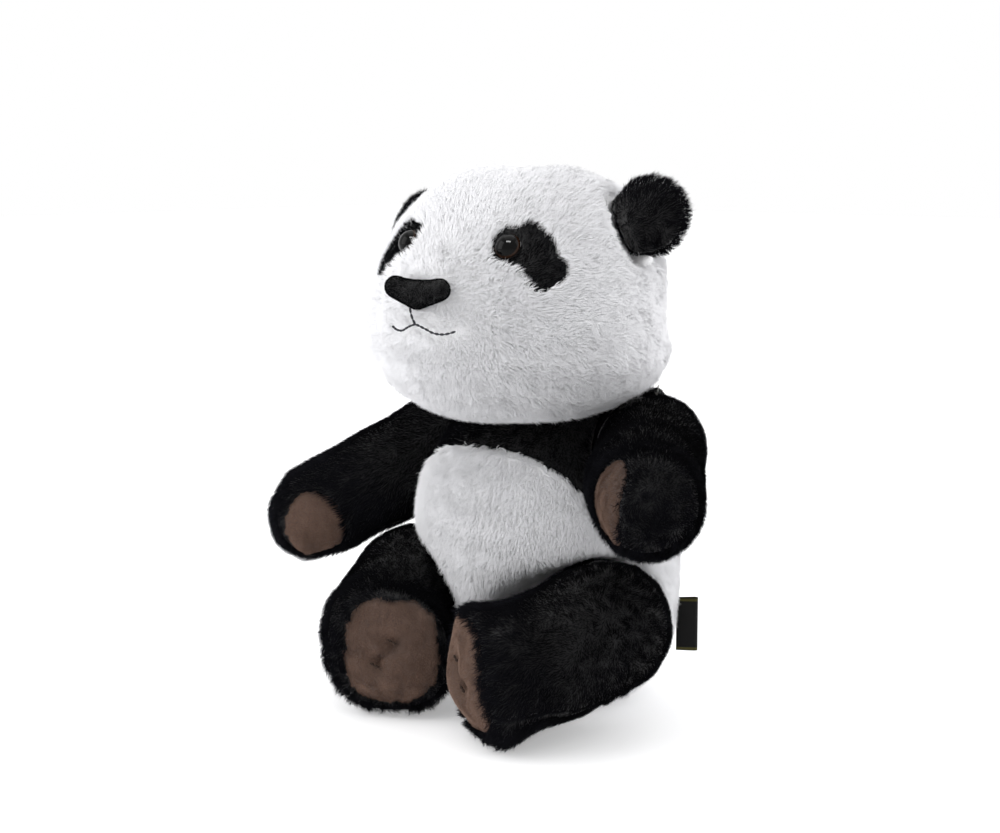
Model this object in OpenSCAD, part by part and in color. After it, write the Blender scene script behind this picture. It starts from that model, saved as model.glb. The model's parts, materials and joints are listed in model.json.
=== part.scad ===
// Plush panda sitting upright, stuffed and sewn, with black limbs, ears and
// yoke, white head, belly and back, and brown velour soles and paw pads.
// The toy faces -Y, its left side is +X, and it sits on the plane z = 0.

/* [Build] */
// Thickness of the fabric with its dense pile
skin_t = 2.6; // [2:0.2:3.2]
// Clearance between parts that move against each other
gap = 0.5; // [0.4:0.05:0.7]
// Sides around each stuffed shape
round_sides = 22; // [20:2:32]

/* [Torso] */
// Half width of the seat
seat_w = 67; // [63:0.5:69]
// Half depth of the seat
seat_d = 58; // [55:0.5:60]
// Half width of the chest
chest_w = 65; // [61:0.5:67]
// Height of the neck seam on the body's axis
neck_z = 155.5; // [154:0.5:157]
// Forward tilt of the neck seam in degrees
neck_tilt = 10.5; // [9:0.5:12]
// Height of the top of the white belly panel
belly_top = 131; // [124:1:134]

/* [Head] */
// Half width of the crown
crown_w = 67; // [64:0.5:69]
// Height of the top of the head
crown_top = 261; // [257:0.5:264]
// Distance of each cheek's centre from the middle
cheek_x = 40; // [38:0.5:42]
// How far the muzzle reaches forward of the body's axis
muzzle_reach = 90; // [88:0.5:92]
// Diameter of each safety eye
eye_d = 10; // [9:0.5:11]
// Width of the nose
nose_w = 37; // [34:0.5:39]
// Half width of each ear
ear_w = 19; // [17:0.5:20]
// Half height of each ear
ear_h = 20.5; // [18:0.5:21.5]
// How much lower the right ear is sewn on, in degrees round the crown
ear_droop = 8; // [0:1:15]

/* [Arms] */
// Radius of the upper arm at the shoulder
shoulder_r = 27; // [25:0.5:27.5]
// Radius of the forearm
forearm_r = 24; // [22:0.5:24]
// Radius of the paw
paw_r = 21.5; // [20:0.5:22]
// How far the left arm is raised at rest in degrees
left_raise = 20; // [10:1:30]
// How far the right arm is raised at rest in degrees
right_raise = -9; // [-9:1:10]

/* [Legs] */
// Radius of the thigh
thigh_r = 32.5; // [31:0.5:33.5]
// Radius of the shin
shin_r = 28.5; // [27:0.5:29.5]
// Half width of the foot
foot_w = 34; // [32:0.5:36]
// Half height of the foot
foot_h = 35; // [33:0.5:36]
// How far each foot turns in, in degrees
toe_in = 26; // [22:1:28]

/* [Hidden] */
$fn = 32;

white = "whitesmoke";
black = "#1c1c20";
brown = "#7b6355";

// Travel of the limbs, measured from the level pose
arm_low = -10;
arm_high = 28;
leg_high = 20;
ear_back = -15;
ear_front = 20;

neck_at = [0, -10, neck_z];
shoulder = [58, 6, 131];
elbow = [89, -34, 109];
paw = [111, -58, 98];
paw_tip = [116, -66, 92];
hip = [61, -34, 51];
knee = [52, -61, 41];
sole = [24, -90, 35];
toe_dir = [-sin(toe_in), -cos(toe_in), 0];
ankle = sole - toe_dir * 15 - [0, 0, 3];
foot = sole - toe_dir * 10 + [6, -1, -1];
ear_at = [68.5, -12, 242];
ear_root = [59.5, -10.5, 234.5];
ear_line = [13, 3, -15];
eye_xz = [31, 229];

// ---------- soft shapes as distance functions ----------
function unit(v) = v / norm(v);
function sm(a, b, k) = let (h = max(k - abs(a - b), 0) / k)
  min(a, b) - h * h * k / 4;
function blend(v, k, i = 0) = i == len(v) - 1 ? v[i]
  : sm(v[i], blend(v, k, i + 1), k);
function ell(q, r) =
  let (a = [q.x / r.x, q.y / r.y, q.z / r.z],
       b = [a.x / r.x, a.y / r.y, a.z / r.z],
       k = norm(a))
  k * (k - 1) / max(norm(b), 1e-9);
function pill(p, a, b, ra, rb) =
  let (h = min(max((p - a) * (b - a) / ((b - a) * (b - a)), 0), 1))
  norm(p - a - h * (b - a)) - ra - (rb - ra) * h;
function bun(q, r, e) =
  let (h = norm([q.x / r.x, q.y / r.y]))
  (pow(pow(h, e) + pow(abs(q.z) / r.z, e), 1 / e) - 1) * min(r.y, r.z);
function puck(q, r, e) =
  let (h = pow(pow(abs(q.x) / r.x, e) + pow(abs(q.z) / r.z, e), 1 / e),
       k = norm([h, q.y / r.y]))
  k * (k - 1) / max(norm([h * 2 / (r.x + r.z), q.y / (r.y * r.y)]), 1e-9);
function yawed(q, a) = [q.x * cos(a) + q.y * sin(a),
  q.y * cos(a) - q.x * sin(a), q.z];
function pitched(q, a) = [q.x, q.y * cos(a) + q.z * sin(a),
  q.z * cos(a) - q.y * sin(a)];
function flip(p) = [abs(p.x), p.y, p.z];

head_f = function (p) blend([
  ell(flip(p) - [crown_w - 40, -18, crown_top - 42], [38, 40, 38]),
  ell(p - [0, -18, crown_top - 47.5], [crown_w, 53, 47.5]),
  ell(flip(p) - [cheek_x, -36, 191], [38, 36, 37]),
  ell(p - [0, 24 - muzzle_reach, 193], [32, 24, 25]),
  ell(p - [0, -5, 176], [65, 51, 37]),
  ell(p - [0, -50, 172], [50, 33, 25]),
  ell(p - [0, 21 - muzzle_reach, 206], [26, 20, 17])], 18);
torso_f = function (p) blend([
  bun(p - [0, -2, 57], [seat_w, seat_d, 61], 2.6),
  ell(p - [0, -4, 101], [chest_w, 54, 54]),
  pill(p, [-44, 10, 143], [44, 10, 143], 24, 24)], 20);
arm_f = function (p) blend([
  pill(p, shoulder, elbow, shoulder_r, forearm_r),
  pill(p, elbow, paw, forearm_r, paw_r),
  pill(p, paw, paw_tip, paw_r - 0.5, paw_r - 3.5)], 10);
leg_f = function (p) blend([
  pill(p, hip, knee, thigh_r, shin_r),
  pill(p, knee, ankle, shin_r, shin_r - 5.5),
  puck(pitched(yawed(p - foot, -toe_in), 8), [foot_w, 14, foot_h], 2.4)], 8);
ear_f = function (p) blend([
  ell(pitched(yawed(p - ear_at, 25), -30), [ear_w, 8.5, ear_h]),
  pill(p, ear_root - ear_line * 0.42, ear_root + ear_line * 0.42, 5.5, 5.5)],
  6);

// Distance from c along d to the surface where f equals lv
function reach(f, c, d, lv, lo = 0, hi = 140, n = 15) = n == 0
  ? (lo + hi) / 2
  : let (m = (lo + hi) / 2) f(c + d * m) < lv
    ? reach(f, c, d, lv, m, hi, n - 1) : reach(f, c, d, lv, lo, m, n - 1);
function slope(f, p) = unit([
  f(p + [0.5, 0, 0]) - f(p - [0.5, 0, 0]),
  f(p + [0, 0.5, 0]) - f(p - [0, 0.5, 0]),
  f(p + [0, 0, 0.5]) - f(p - [0, 0, 0.5])]);

// Closed skin around the shape f, seen from c, with its poles along w
module blob(f, c, w = [0, 0, 1], lv = 0, nu = round_sides, nv = 12) {
  wz = unit(w);
  wx = abs(wz.z) > 0.99 ? [1, 0, 0] : unit(cross([0, 0, 1], wz));
  wy = cross(wz, wx);
  dirs = concat([-wz],
    [for (j = [1:nv - 1], i = [0:nu - 1])
      let (t = 180 * j / nv - 90, a = 360 * i / nu)
      wx * cos(t) * cos(a) + wy * cos(t) * sin(a) + wz * sin(t)],
    [wz]);
  last = len(dirs) - 1;
  faces = concat(
    [for (i = [0:nu - 1]) [0, 1 + i, 1 + (i + 1) % nu]],
    [for (j = [0:nv - 3], i = [0:nu - 1])
      let (a = 1 + j * nu + i, b = 1 + j * nu + (i + 1) % nu)
      each [[a, a + nu, b], [b, a + nu, b + nu]]],
    [for (i = [0:nu - 1])
      [last, 1 + (nv - 2) * nu + (i + 1) % nu, 1 + (nv - 2) * nu + i]]);
  polyhedron([for (d = dirs) c + d * reach(f, c, d, lv)], faces);
}
module torso_blob(lv = 0, fine = 4) blob(torso_f, [0, -2, 80], [0, 0, 1],
  lv, round_sides + fine, 9 + fine);
module head_blob(lv = 0, fine = 4) blob(head_f, [0, -22, 202], [0, 0, 1],
  lv, round_sides + fine, 9 + fine);
module arm_blob(lv = 0) blob(arm_f, elbow - [2, -2, 0], paw - shoulder, lv);
module leg_blob(lv = 0) blob(leg_f, [49, -60, 42], hip - sole, lv);
module ear_blob(lv = 0) blob(ear_f, ear_at * 0.7 + ear_root * 0.3,
  [0.35, 0.7, 0.5], lv, 18, 9);

// Soft goods come out as one closed mesh each
module soft(c) color(c) resize([0, 0, 0]) children();
module table() translate([-150, -150, -100]) cube([300, 300, 100]);
module above_neck(off = 0) translate(neck_at) rotate([neck_tilt, 0, 0])
  translate([-150, -150, off]) cube([300, 300, 200]);
module turn_about(c, v, a) translate(c) rotate(a, v) translate(-c) children();
module both() { children(); mirror([1, 0, 0]) children(); }

// Room that the limbs need in the torso over their whole travel
function swung(p, c, a) = [p.x,
  c.y + (p.y - c.y) * cos(a) + (p.z - c.z) * sin(a),
  c.z + (p.z - c.z) * cos(a) - (p.y - c.y) * sin(a)];
module ball(c, r) translate(c) sphere(r = r, $fn = 22);
module limb_room() both() {
  hull() {
    ball(shoulder, shoulder_r + gap + 0.6);
    for (a = [arm_low, arm_low + 24]) ball(swung(elbow, shoulder, a),
      forearm_r + gap + 3);
  }
  hull() {
    ball(shoulder, shoulder_r + gap + 0.6);
    for (a = [arm_high - 24, arm_high]) ball(swung(elbow, shoulder, a),
      forearm_r + gap + 3);
  }
  hull() {
    ball(hip, thigh_r + gap + 0.6);
    for (a = [0, leg_high]) {
      ball(swung(knee, hip, a), shin_r + gap + 2.6);
      ball(swung(ankle, hip, a), shin_r + gap + 2.6);
    }
  }
  translate(shoulder) rotate([0, -90, 0]) cylinder(h = 31, r = 12);
  translate(hip) rotate([0, -90, 0]) cylinder(h = 40, r = 13);
}

// ---------- torso ----------
module torso_shell() difference() {
  torso_blob();
  difference() {
    torso_blob(-skin_t);
    translate([0, 0, skin_t]) table();
  }
  limb_room();
  above_neck(-2 - gap);
  table();
}
// Front outline of the white belly, run right through the front of the torso
module belly_region() translate([0, 0, 70]) rotate([90, 0, 0])
  linear_extrude(90) polygon([for (a = [0:6:359])
    [61 * sign(cos(a)) * pow(abs(cos(a)), 0.77),
      (belly_top - 70) * sign(sin(a)) * pow(abs(sin(a)), 0.77)]]);
module base_region() translate([-90, -90, -1]) cube([180, 180, 9]);
module yoke_region() difference() {
  translate([-90, -90, 102]) cube([180, 180, 90]);
  belly_region();
}
module belly_panel() soft(white) intersection() {
  torso_shell();
  difference() {
    union() {
      belly_region();
      translate([-61, -90, 8]) cube([122, 90, 62]);
    }
    base_region();
  }
}
module back_half() difference() {
  intersection() { torso_shell(); translate([0, -90, 8]) cube([90, 180, 94]); }
  belly_region();
  translate([-61, -90, 0]) cube([122, 90, 70]);
}
module back_panel_left() soft(white) back_half();
module back_panel_right() soft(white) mirror([1, 0, 0]) back_half();
module base_panel() soft(white) intersection() { torso_shell(); base_region(); }
module yoke_front() soft(black) intersection() {
  torso_shell();
  yoke_region();
  translate([-90, -90, 90]) cube([180, 94, 90]);
}
module yoke_back() soft(black) intersection() {
  torso_shell();
  yoke_region();
  translate([-90, 4, 90]) cube([180, 90, 90]);
}
module body_stuffing() soft("ivory") difference() {
  torso_blob(-skin_t - 0.9);
  limb_room();
  above_neck(-2 - gap);
  translate([0, 0, skin_t + 0.2]) table();
}
// Short tail sewn to the back seam
module tail() color(white) difference() {
  hull() {
    translate([0, 50, 36]) sphere(r = 13, $fn = 20);
    translate([0, 61, 31]) sphere(r = 12, $fn = 20);
  }
  torso_blob(0.05);
}
// Folded ribbon sewn into the side seam behind the left leg
module side_label() color(black) translate([54.3, 29.4, 24]) rotate([0, 0, 37])
  difference() {
    linear_extrude(27) hull() {
      translate([3.4, 0]) square([1, 1.6], center = true);
      translate([11.6, 0]) circle(r = 1.9);
    }
    translate([0, 0, -1]) linear_extrude(29) hull() {
      translate([5, 0]) square([0.4, 0.5], center = true);
      translate([11.6, 0]) circle(r = 1.3);
    }
  }

// ---------- head ----------
eye_y = -reach(head_f, [eye_xz.x, 0, eye_xz.y], [0, -1, 0], 0);
eye_at = [eye_xz.x, eye_y, eye_xz.y];
eye_dir = slope(head_f, eye_at);
module eye_frame() translate(eye_at)
  rotate([0, 0, atan2(eye_dir.y, eye_dir.x)])
  rotate([0, acos(eye_dir.z), 0]) children();
// Outline of the black patch, widest round the eye and drooping outwards
module patch_region() translate([0, -40, 0]) rotate([90, 0, 0])
  linear_extrude(60) {
    hull() { spot(29.5, 231, 7); spot(37, 230.5, 9); }
    hull() { spot(37, 230.5, 9); spot(50, 217, 7.8); }
  }
module spot(x, z, r) translate([x, z]) circle(r = r);
// Seat of an ear: the left one as drawn, the right one mirrored and lower
module ear_place(s) {
  if (s > 0) children();
  else mirror([1, 0, 0]) translate([2.5, -1.5, -1])
    turn_about([10, 0, 212], [0, 1, 0], ear_droop)
    turn_about(ear_root, ear_line, 11) children();
}
module ear_room() difference() {
  for (s = [-1, 1], a = [0:3]) ear_place(s) turn_about(ear_root, ear_line,
    ear_back + a * (ear_front - ear_back) / 3) ear_blob(gap + 0.1);
  head_blob(-skin_t - 6.2, 0);
}
module head_shell() intersection() {
  difference() {
    head_blob();
    head_blob(-skin_t);
    ear_room();
    both() eye_frame() translate([0, 0, -30]) cylinder(h = 60, r = 1.8);
  }
  above_neck();
}
module muzzle_region() translate([-34, -130, 176]) cube([68, 62, 48]);
module chin_region() translate([-100, -130, 140]) cube([200, 220, 36]);
module upper_head() difference() {
  head_shell();
  muzzle_region();
  chin_region();
  both() patch_region();
}
module gusset_region() {
  translate([-22, -130, 150]) cube([44, 220, 130]);
  translate([-90, -130, 234]) cube([180, 110, 60]);
}
module head_gusset() soft(white) intersection() {
  upper_head();
  gusset_region();
}
module head_side(s) difference() {
  intersection() {
    upper_head();
    translate([s > 0 ? 0 : -110, -130, 150]) cube([110, 220, 130]);
  }
  gusset_region();
}
module head_side_left() soft(white) head_side(1);
module head_side_right() soft(white) head_side(-1);
module muzzle_panel() soft(white) difference() {
  intersection() { head_shell(); muzzle_region(); }
  both() patch_region();
  mouth_line(0.95);
}
module chin_panel() soft(white) intersection() { head_shell(); chin_region(); }
module head_stuffing() soft("ivory") intersection() {
  difference() {
    head_blob(-skin_t - 0.9);
    ear_room();
    both() eye_frame() translate([0, 0, -skin_t - 8]) cylinder(h = 20, r = 6.7);
  }
  above_neck();
}
module eye_patch() intersection() { head_shell(); patch_region(); }
module eye_patch_left() soft(black) eye_patch();
module eye_patch_right() soft(black) mirror([1, 0, 0]) eye_patch();
// Safety eye: domed front, thin rim and a shank through the fabric
module eye() color("#15120f") eye_frame() {
  rotate_extrude() intersection() {
    translate([0, 0.1]) square([eye_d, eye_d]);
    translate([0, 5.4 - eye_d * 0.64]) circle(r = eye_d * 0.64, $fn = 64);
  }
  translate([0, 0, -7]) cylinder(h = 7.5, r = 1.5);
}
module eye_left() eye();
module eye_right() mirror([1, 0, 0]) eye();
module eye_washer() color("silver") eye_frame() translate([0, 0, -skin_t - 3.4])
  difference() {
    cylinder(h = 1.4, r = 6);
    translate([0, 0, -1]) cylinder(h = 4, r = 1.5);
  }
module eye_washer_left() eye_washer();
module eye_washer_right() mirror([1, 0, 0]) eye_washer();
module nose() color(black) difference() {
  both() hull() {
    translate([nose_w / 2 - 4.8, -93.5, 210.5]) sphere(r = 4.8, $fn = 18);
    translate([0, -93.5, 206.6]) sphere(r = 5.4, $fn = 18);
  }
  head_blob(0.05);
}
// Thread line below the nose and along the mouth, laid on the muzzle
function mouth_z(x) = 194 - 3.6 * pow(sin(min(abs(x) / 12, 1) * 90), 2)
  + (abs(x) > 12 ? pow((abs(x) - 12) / 10, 2) * 2 : 0);
function on_face(x, z) = [x,
  -reach(head_f, [x, 0, z], [0, -1, 0], 0.3), z];
module thread(pts, r) for (i = [0:len(pts) - 2]) hull() {
  translate(pts[i]) sphere(r = r, $fn = 6);
  translate(pts[i + 1]) sphere(r = r, $fn = 6);
}
module mouth_line(r) {
  thread([for (x = [-20:5:20]) on_face(x, mouth_z(x))], r);
  thread([for (z = [194, 199]) on_face(0, z)], r);
}
module mouth_stitch() color("#2a2a2c") mouth_line(0.8);
module neck_seam() color(white) translate(neck_at) rotate([neck_tilt, 0, 0])
  translate([0, 0, -2]) difference() {
    cylinder(h = 2, r = 24, $fn = 64);
    translate([0, 0, -1]) cylinder(h = 4, r = 21, $fn = 64);
  }

// ---------- ears ----------
module seam_rod(r) translate(ear_root - unit(ear_line) * 10)
  rotate([0, 0, atan2(ear_line.y, ear_line.x)])
  rotate([0, acos(ear_line.z / norm(ear_line)), 0]) cylinder(h = 20, r = r);
module ear(s) soft(black) difference() {
  ear_place(s) ear_blob();
  ear_place(s) ear_blob(-skin_t);
  head_blob(-skin_t);
  ear_place(s) seam_rod(1.3);
}
module ear_wadding(s) soft("ivory") difference() {
  ear_place(s) ear_blob(-skin_t);
  head_blob(-skin_t);
  ear_place(s) seam_rod(1.3);
}
module ear_left() ear(1);
module ear_right() ear(-1);
module ear_left_wadding() ear_wadding(1);
module ear_right_wadding() ear_wadding(-1);
module ear_left_seam() color(black) ear_place(1) seam_rod(1.2);
module ear_right_seam() color(black) ear_place(-1) seam_rod(1.2);

// ---------- arms ----------
module left_arm_pose() turn_about(shoulder, [-1, 0, 0], left_raise)
  children();
module right_arm_pose() mirror([1, 0, 0])
  turn_about(shoulder, [-1, 0, 0], right_raise) children();
module pad_region(more = 0) translate(paw + [-12.5, -20, -7])
  scale([1, 1, 1.35]) sphere(r = 17.5 + more, $fn = 18);
// Flat under the elbow that clears the thigh, with the arm at its lowest
thigh_at = swung(hip, shoulder, -arm_low);
thigh_to = unit(elbow * 0.7 + paw * 0.3 - thigh_at);
module thigh_room(more) translate(thigh_at)
  rotate([0, acos(thigh_to.z), atan2(thigh_to.y, thigh_to.x)])
  translate([-100, -100, -100])
  cube([200, 200, 100 + thigh_r + gap + 0.6 + more]);
module arm_form(lv = 0) difference() { arm_blob(lv); thigh_room(-lv); }
module arm_cover() difference() {
  arm_form();
  arm_form(-skin_t);
  pad_region(0.05);
}
module paw_pad() difference() {
  intersection() { arm_form(); pad_region(); }
  arm_form(-skin_t);
}
module shoulder_ring() translate(shoulder + [-shoulder_r - 2.2, 0, 0])
  rotate([0, 90, 0]) difference() {
    cylinder(h = 4, r = 11, $fn = 48);
    translate([0, 0, -1]) cylinder(h = 6, r = 9, $fn = 48);
    translate([0, 0, shoulder_r + 2.2]) sphere(r = shoulder_r + 0.02, $fn = 96);
  }
module arm_left() soft(black) left_arm_pose() arm_cover();
module arm_right() soft(black) right_arm_pose() arm_cover();
module paw_pad_left() soft(brown) left_arm_pose() paw_pad();
module paw_pad_right() soft(brown) right_arm_pose() paw_pad();
module arm_left_stuffing() soft("ivory") left_arm_pose() arm_form(-skin_t);
module arm_right_stuffing() soft("ivory") right_arm_pose() arm_form(-skin_t);
module shoulder_seam_left() color(black) shoulder_ring();
module shoulder_seam_right() color(black) mirror([1, 0, 0]) shoulder_ring();

// ---------- legs ----------
module leg_solid(lv = 0) difference() {
  leg_blob(lv);
  translate([-100 + gap, -150, -50]) cube([100, 200, 150]);
  translate([-150, -150, -100]) cube([300, 300, 100 - lv]);
}
// Sole outline: nearly round, a little broader at the heel
module sole_region(more = 0) translate(sole + toe_dir * 40)
  rotate([0, 0, -toe_in]) rotate([-90, 0, 0]) linear_extrude(46)
  hull() for (s = [-1, 1]) {
    translate([s * 9, 11]) circle(r = 16 + more, $fn = 24);
    translate([s * 5, -8]) circle(r = 18 + more, $fn = 24);
  }
module leg_shell() difference() { leg_solid(); leg_solid(-skin_t); }
module under_region() translate([-50, -150, -10]) cube([200, 200, 31]);
module leg_top() difference() {
  leg_shell();
  under_region();
  sole_region(0.05);
}
module leg_under() difference() {
  intersection() { leg_shell(); under_region(); }
  sole_region(0.05);
}
module sole_pad() difference() {
  intersection() { leg_shell(); sole_region(); }
  toe_stitch(0.85);
}
module hip_ring() translate(hip + [-thigh_r - 2.2, 0, 0]) rotate([0, 90, 0])
  difference() {
    cylinder(h = 4, r = 12, $fn = 48);
    translate([0, 0, -1]) cylinder(h = 6, r = 10, $fn = 48);
    translate([0, 0, thigh_r + 2.2]) sphere(r = thigh_r + 0.02, $fn = 96);
    translate([0, 0, thigh_r + 2.2]) rotate([0, -90, 0]) translate(-hip)
      leg_blob(0.1);
  }
function on_sole(x, z) = let (
  c = sole - toe_dir * 20 + [x * cos(toe_in), -x * sin(toe_in), z - sole.z],
  d = reach(leg_f, c, toe_dir, -0.6, 0, 60)) c + toe_dir * d;
module toe_stitch(r) for (s = [[-2, 41], [7, 29]])
  thread([for (t = [-2, 2]) on_sole(s.x + t, s.y - t * 0.4)], r);
module leg_left_top() soft(black) leg_top();
module leg_right_top() soft(black) mirror([1, 0, 0]) leg_top();
module leg_left_under() soft(black) leg_under();
module leg_right_under() soft(black) mirror([1, 0, 0]) leg_under();
module sole_left() soft(brown) sole_pad();
module sole_right() soft(brown) mirror([1, 0, 0]) sole_pad();
module leg_left_stuffing() soft("ivory") leg_solid(-skin_t);
module leg_right_stuffing() soft("ivory") mirror([1, 0, 0])
  leg_solid(-skin_t);
module hip_seam_left() color(black) hip_ring();
module hip_seam_right() color(black) mirror([1, 0, 0]) hip_ring();
module toe_stitches_left() color("#4a3a30") toe_stitch(0.7);
module toe_stitches_right() color("#4a3a30") mirror([1, 0, 0])
  toe_stitch(0.7);

belly_panel();
back_panel_left();
back_panel_right();
base_panel();
yoke_front();
yoke_back();
body_stuffing();
tail();
side_label();
head_gusset();
head_side_left();
head_side_right();
muzzle_panel();
chin_panel();
head_stuffing();
eye_patch_left();
eye_patch_right();
eye_left();
eye_right();
eye_washer_left();
eye_washer_right();
nose();
mouth_stitch();
neck_seam();
ear_left();
ear_left_wadding();
ear_left_seam();
ear_right();
ear_right_wadding();
ear_right_seam();
arm_left();
paw_pad_left();
arm_left_stuffing();
shoulder_seam_left();
arm_right();
paw_pad_right();
arm_right_stuffing();
shoulder_seam_right();
leg_left_top();
leg_left_under();
sole_left();
leg_left_stuffing();
hip_seam_left();
toe_stitches_left();
leg_right_top();
leg_right_under();
sole_right();
leg_right_stuffing();
hip_seam_right();
toe_stitches_right();
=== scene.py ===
"""Looks of the seated plush panda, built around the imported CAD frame. Lengths are metres."""
import json
import math

import bpy
import numpy as np
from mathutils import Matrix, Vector
from mathutils.bvhtree import BVHTree


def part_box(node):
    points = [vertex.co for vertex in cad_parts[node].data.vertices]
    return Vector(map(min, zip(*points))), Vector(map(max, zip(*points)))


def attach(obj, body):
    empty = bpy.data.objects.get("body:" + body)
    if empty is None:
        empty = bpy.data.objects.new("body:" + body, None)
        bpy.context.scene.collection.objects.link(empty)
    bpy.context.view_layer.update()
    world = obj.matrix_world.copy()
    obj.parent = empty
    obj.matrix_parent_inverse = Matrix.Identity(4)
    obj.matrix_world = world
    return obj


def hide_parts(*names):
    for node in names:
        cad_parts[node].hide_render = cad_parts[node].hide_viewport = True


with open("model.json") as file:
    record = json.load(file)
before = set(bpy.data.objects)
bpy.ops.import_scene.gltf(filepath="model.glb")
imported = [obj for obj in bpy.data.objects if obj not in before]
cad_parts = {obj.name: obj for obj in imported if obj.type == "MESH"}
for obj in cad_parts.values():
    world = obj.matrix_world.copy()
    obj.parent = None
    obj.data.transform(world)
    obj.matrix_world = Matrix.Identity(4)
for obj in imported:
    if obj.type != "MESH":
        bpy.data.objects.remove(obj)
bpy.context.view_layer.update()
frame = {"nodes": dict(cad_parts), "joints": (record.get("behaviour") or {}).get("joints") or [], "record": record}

MM = 0.001
RECORD = frame["record"]
NODES = frame["nodes"]
BODIES = RECORD["behaviour"]["bodies"]
SLOT = {part["node"]: part["material_slot"] for part in RECORD["subparts"]}
JOINT = {joint["child"]: joint for joint in frame["joints"]}
FUR_SLOTS = ("white_plush", "black_plush", "brown_velour")
LOOSE_PARTS = ("tail", "neck_seam")
SEED = 20261116

# ---------- camera, lights and floor ----------
AZIMUTH, ELEVATION, DISTANCE = math.radians(40), math.radians(8.5), 0.850
AIM = Vector((0, 0, 0.145))
SENSOR_WIDTH, FOCAL_LENGTH = 36, 61.2
back = Vector((math.sin(AZIMUTH) * math.cos(ELEVATION),
               -math.cos(AZIMUTH) * math.cos(ELEVATION), math.sin(ELEVATION)))
camera = bpy.data.objects.new("camera", bpy.data.cameras.new("camera"))
bpy.context.scene.collection.objects.link(camera)
camera.location = AIM + back * DISTANCE
camera.rotation_euler = back.to_track_quat("Z", "Y").to_euler()
camera.data.sensor_width = SENSOR_WIDTH
camera.data.lens = FOCAL_LENGTH
camera.data.shift_x = -0.050
camera.data.shift_y = -0.0085
bpy.context.scene.camera = camera


def node_material(name, build):
    """A node material: build gets the tree, a function that adds a node, and the shader."""
    material = bpy.data.materials.new(name)
    material.use_nodes = True
    tree = material.node_tree

    def add(kind, **settings):
        node = tree.nodes.new(kind)
        for key, value in settings.items():
            if key.startswith("in_"):
                node.inputs[key[3:].replace("_", " ")].default_value = value
            else:
                setattr(node, key, value)
        return node

    build(tree.links.new, add, tree.nodes["Principled BSDF"])
    return material


def colour_ramp(add, stops):
    """A colour ramp node with (position, colour) stops."""
    ramp = add("ShaderNodeValToRGB")
    elements = ramp.color_ramp.elements
    while len(elements) < len(stops):
        elements.new(0.5)
    for element, (position, colour) in zip(elements, stops):
        element.position = position
        element.color = (*colour, 1)
    return ramp


def area_light(name, direction, distance, size, power, only_gloss=False):
    """A softbox that looks at the aim point; one that is only gloss shows in reflections alone."""
    light = bpy.data.objects.new(name, bpy.data.lights.new(name, "AREA"))
    bpy.context.scene.collection.objects.link(light)
    away = Vector(direction).normalized()
    light.location = AIM + away * distance
    light.rotation_euler = away.to_track_quat("Z", "Y").to_euler()
    light.data.shape = "RECTANGLE"
    light.data.size, light.data.size_y = size
    light.data.energy = power
    light.visible_diffuse = not only_gloss


def studio():
    """White world, pale floor, three softboxes and a small light that glints in the eyes."""
    scene = bpy.context.scene
    scene.view_settings.view_transform = "Standard"
    world = bpy.data.worlds.new("studio")
    world.use_nodes = True
    world.node_tree.nodes["Background"].inputs["Color"].default_value = (1, 1, 1, 1)
    world.node_tree.nodes["Background"].inputs["Strength"].default_value = 1.0
    scene.world = world
    right = Vector((math.cos(AZIMUTH), math.sin(AZIMUTH), 0))
    front = Vector((math.sin(AZIMUTH), -math.cos(AZIMUTH), 0))
    up = Vector((0, 0, 1))
    area_light("key", -right * 1.0 + front * 0.25 + up * 0.45, 1.3, (0.9, 1.1), 8.0)
    area_light("side", right * 1.0 + front * 0.1 + up * 0.5, 1.3, (0.8, 1.2), 3.6)
    area_light("top", up - front * 0.15, 1.2, (1.1, 1.1), 3.0)
    area_light("spark", front * 0.55 + up * 0.9 - right * 0.1, 1.0, (0.5, 0.2), 14,
               only_gloss=True)
    mesh = bpy.data.meshes.new("floor")
    half = 6.0
    corners = [(-half, -half, 0), (half, -half, 0), (half, half, 0), (-half, half, 0)]
    mesh.from_pydata(corners, [], [(0, 1, 2, 3)])
    floor = bpy.data.objects.new("floor", mesh)
    scene.collection.objects.link(floor)

    def build(link, add, shader):
        shader.inputs["Base Color"].default_value = (0.93, 0.93, 0.94, 1)
        shader.inputs["Roughness"].default_value = 0.7
        shader.inputs["Emission Color"].default_value = (1, 1, 1, 1)
        shader.inputs["Emission Strength"].default_value = 0.30
    mesh.materials.append(node_material("pale_floor", build))


studio()


# ---------- mesh helpers ----------
def points_of(mesh):
    flat = np.zeros(len(mesh.vertices) * 3, np.float32)
    mesh.vertices.foreach_get("co", flat)
    return flat.reshape(-1, 3).astype(float)


def triangles_of(mesh):
    mesh.calc_loop_triangles()
    flat = np.zeros(len(mesh.loop_triangles) * 3, np.int32)
    mesh.loop_triangles.foreach_get("vertices", flat)
    return flat.reshape(-1, 3)


def edges_of(mesh):
    flat = np.zeros(len(mesh.edges) * 2, np.int32)
    mesh.edges.foreach_get("vertices", flat)
    return flat.reshape(-1, 2)


def unit(vectors):
    return vectors / np.maximum(np.linalg.norm(vectors, axis=-1, keepdims=True), 1e-12)


def normals_of(points, triangles):
    """Area-weighted vertex normals."""
    face = np.cross(points[triangles[:, 1]] - points[triangles[:, 0]],
                    points[triangles[:, 2]] - points[triangles[:, 0]])
    total = np.zeros_like(points)
    for corner in range(3):
        np.add.at(total, triangles[:, corner], face)
    return unit(total)


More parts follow.
